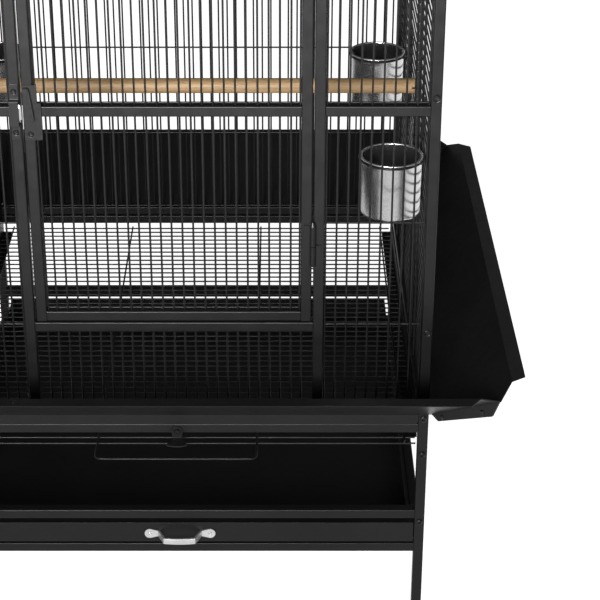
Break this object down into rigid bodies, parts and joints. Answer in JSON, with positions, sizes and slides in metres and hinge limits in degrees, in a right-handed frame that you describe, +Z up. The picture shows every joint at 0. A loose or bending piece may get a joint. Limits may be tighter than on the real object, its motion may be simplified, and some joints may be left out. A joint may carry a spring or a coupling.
{
  "type": "bird cage on stand",
  "caption": "Tall bird cage of steel bars on a wheeled stand, with a main door, seed guards, swing-out feeders, a perch, a pull-out grate and a pull-out tray.",
  "frame": {"origin": "on the floor under the middle of the cage", "axes": "+X to the right seen from the front, +Y towards the back, +Z up; the main door and the tray face -Y"},
  "size_m": [1.0484, 1.0664, 1.7295],
  "materials": {
    "powder_coat": "satin black powder coat with a faint orange-peel texture",
    "black_hardware": "semi-gloss black screws, bolts and pins",
    "stainless": "bright stainless steel, softly polished",
    "satin_handle": "pale satin metal",
    "dowel": "bare sanded hardwood dowel",
    "plastic": "moulded black plastic",
    "wheel_rubber": "black moulded caster wheel",
    "caster_steel": "bright zinc-plated caster fork"
  },
  "bodies": {
    "cage": {"back_bars": "powder_coat", "back_frame": "powder_coat", "back_guard": "powder_coat", "catch_roller": "stainless", "frame_bolts": "black_hardware", "front_bars": "powder_coat", "front_frame": "powder_coat", "front_guard": "powder_coat", "grate_runners": "powder_coat", "guard_bolts": "black_hardware", "keeper_bolt": "black_hardware", "left_bars": "powder_coat", "left_frame": "powder_coat", "left_guard": "powder_coat", "perch": "dowel", "post_caps": "plastic", "post_knuckles": "powder_coat", "post_plugs": "plastic", "right_bars": "powder_coat", "right_frame": "powder_coat", "right_guard": "powder_coat", "stand_posts": "powder_coat", "stand_rails": "powder_coat", "strike_bracket": "powder_coat", "strike_screws": "black_hardware", "top_bars": "powder_coat", "top_frame": "powder_coat", "tray_runners": "powder_coat"},
    "door": {"door_frame": "powder_coat", "door_bars": "powder_coat", "door_knuckles": "powder_coat", "hinge_pins": "black_hardware", "lock_plate": "powder_coat", "lock_screws": "black_hardware"},
    "lock_lever": {"lock_lever": "powder_coat"},
    "keeper": {"keeper": "powder_coat"},
    "grate": {"grate": "powder_coat"},
    "tray": {"tray_pan": "powder_coat", "tray_front": "powder_coat", "tray_handle": "satin_handle", "handle_screws": "satin_handle"},
    "feeder_front_right": {"feeder_door_front_right": "powder_coat"},
    "cup_front_right": {"cup_front_right": "stainless"},
    "feeder_front_left": {"feeder_door_front_left": "powder_coat"},
    "cup_front_left": {"cup_front_left": "stainless"},
    "feeder_back_right": {"feeder_door_back_right": "powder_coat"},
    "cup_back_right": {"cup_back_right": "stainless"},
    "feeder_back_left": {"feeder_door_back_left": "powder_coat"},
    "cup_back_left": {"cup_back_left": "stainless"},
    "caster_front_left": {"caster_fork_front_left": "caster_steel"},
    "wheel_front_left": {"caster_wheel_front_left": "wheel_rubber"},
    "caster_front_right": {"caster_fork_front_right": "caster_steel"},
    "wheel_front_right": {"caster_wheel_front_right": "wheel_rubber"},
    "caster_back_left": {"caster_fork_back_left": "caster_steel"},
    "wheel_back_left": {"caster_wheel_back_left": "wheel_rubber"},
    "caster_back_right": {"caster_fork_back_right": "caster_steel"},
    "wheel_back_right": {"caster_wheel_back_right": "wheel_rubber"}
  },
  "joints": [
    {"name": "door_swing", "type": "hinge", "parent": "cage", "child": "door", "pos_m": [0.20675, -0.3982, 1], "axis": [0, 0, 1], "range_deg": [0, 115]},
    {"name": "lock_turn", "type": "hinge", "parent": "door", "child": "lock_lever", "pos_m": [-0.199, -0.396, 1.2475], "axis": [0, -1, 0], "range_deg": [0, 80]},
    {"name": "keeper_turn", "type": "hinge", "parent": "cage", "child": "keeper", "pos_m": [0, -0.395, 0.6875], "axis": [0, -1, 0], "range_deg": [-90, 90]},
    {"name": "grate_slide", "type": "slide", "parent": "cage", "child": "grate", "axis": [0, -1, 0], "range_m": [0, 0.6]},
    {"name": "tray_slide", "type": "slide", "parent": "cage", "child": "tray", "axis": [0, -1, 0], "range_m": [0, 0.6]},
    {"name": "feeder_swing_front_right", "type": "hinge", "parent": "cage", "child": "feeder_front_right", "pos_m": [0.38, -0.354, 1.08], "axis": [0, 0, -1], "range_deg": [0, 110]},
    {"name": "cup_lift_front_right", "type": "slide", "parent": "feeder_front_right", "child": "cup_front_right", "axis": [0, 0, 1], "range_m": [0, 0.15]},
    {"name": "feeder_swing_front_left", "type": "hinge", "parent": "cage", "child": "feeder_front_left", "pos_m": [-0.38, -0.354, 1.08], "axis": [0, 0, 1], "range_deg": [0, 110]},
    {"name": "cup_lift_front_left", "type": "slide", "parent": "feeder_front_left", "child": "cup_front_left", "axis": [0, 0, 1], "range_m": [0, 0.15]},
    {"name": "feeder_swing_back_right", "type": "hinge", "parent": "cage", "child": "feeder_back_right", "pos_m": [0.38, 0.106, 1.08], "axis": [0, 0, -1], "range_deg": [0, 110]},
    {"name": "cup_lift_back_right", "type": "slide", "parent": "feeder_back_right", "child": "cup_back_right", "axis": [0, 0, 1], "range_m": [0, 0.15]},
    {"name": "feeder_swing_back_left", "type": "hinge", "parent": "cage", "child": "feeder_back_left", "pos_m": [-0.38, 0.106, 1.08], "axis": [0, 0, 1], "range_deg": [0, 110]},
    {"name": "cup_lift_back_left", "type": "slide", "parent": "feeder_back_left", "child": "cup_back_left", "axis": [0, 0, 1], "range_m": [0, 0.15]},
    {"name": "caster_swivel_front_left", "type": "hinge", "parent": "cage", "child": "caster_front_left", "pos_m": [-0.38, -0.385, 0.07], "axis": [0, 0, 1], "continuous": true},
    {"name": "wheel_spin_front_left", "type": "hinge", "parent": "caster_front_left", "child": "wheel_front_left", "pos_m": [-0.38, -0.367, 0.025], "axis": [1, 0, 0], "continuous": true},
    {"name": "caster_swivel_front_right", "type": "hinge", "parent": "cage", "child": "caster_front_right", "pos_m": [0.38, -0.385, 0.07], "axis": [0, 0, 1], "continuous": true},
    {"name": "wheel_spin_front_right", "type": "hinge", "parent": "caster_front_right", "child": "wheel_front_right", "pos_m": [0.38, -0.367, 0.025], "axis": [1, 0, 0], "continuous": true},
    {"name": "caster_swivel_back_left", "type": "hinge", "parent": "cage", "child": "caster_back_left", "pos_m": [-0.38, 0.385, 0.07], "axis": [0, 0, 1], "continuous": true},
    {"name": "wheel_spin_back_left", "type": "hinge", "parent": "caster_back_left", "child": "wheel_back_left", "pos_m": [-0.38, 0.403, 0.025], "axis": [1, 0, 0], "continuous": true},
    {"name": "caster_swivel_back_right", "type": "hinge", "parent": "cage", "child": "caster_back_right", "pos_m": [0.38, 0.385, 0.07], "axis": [0, 0, 1], "continuous": true},
    {"name": "wheel_spin_back_right", "type": "hinge", "parent": "caster_back_right", "child": "wheel_back_right", "pos_m": [0.38, 0.403, 0.025], "axis": [1, 0, 0], "continuous": true}
  ]
}
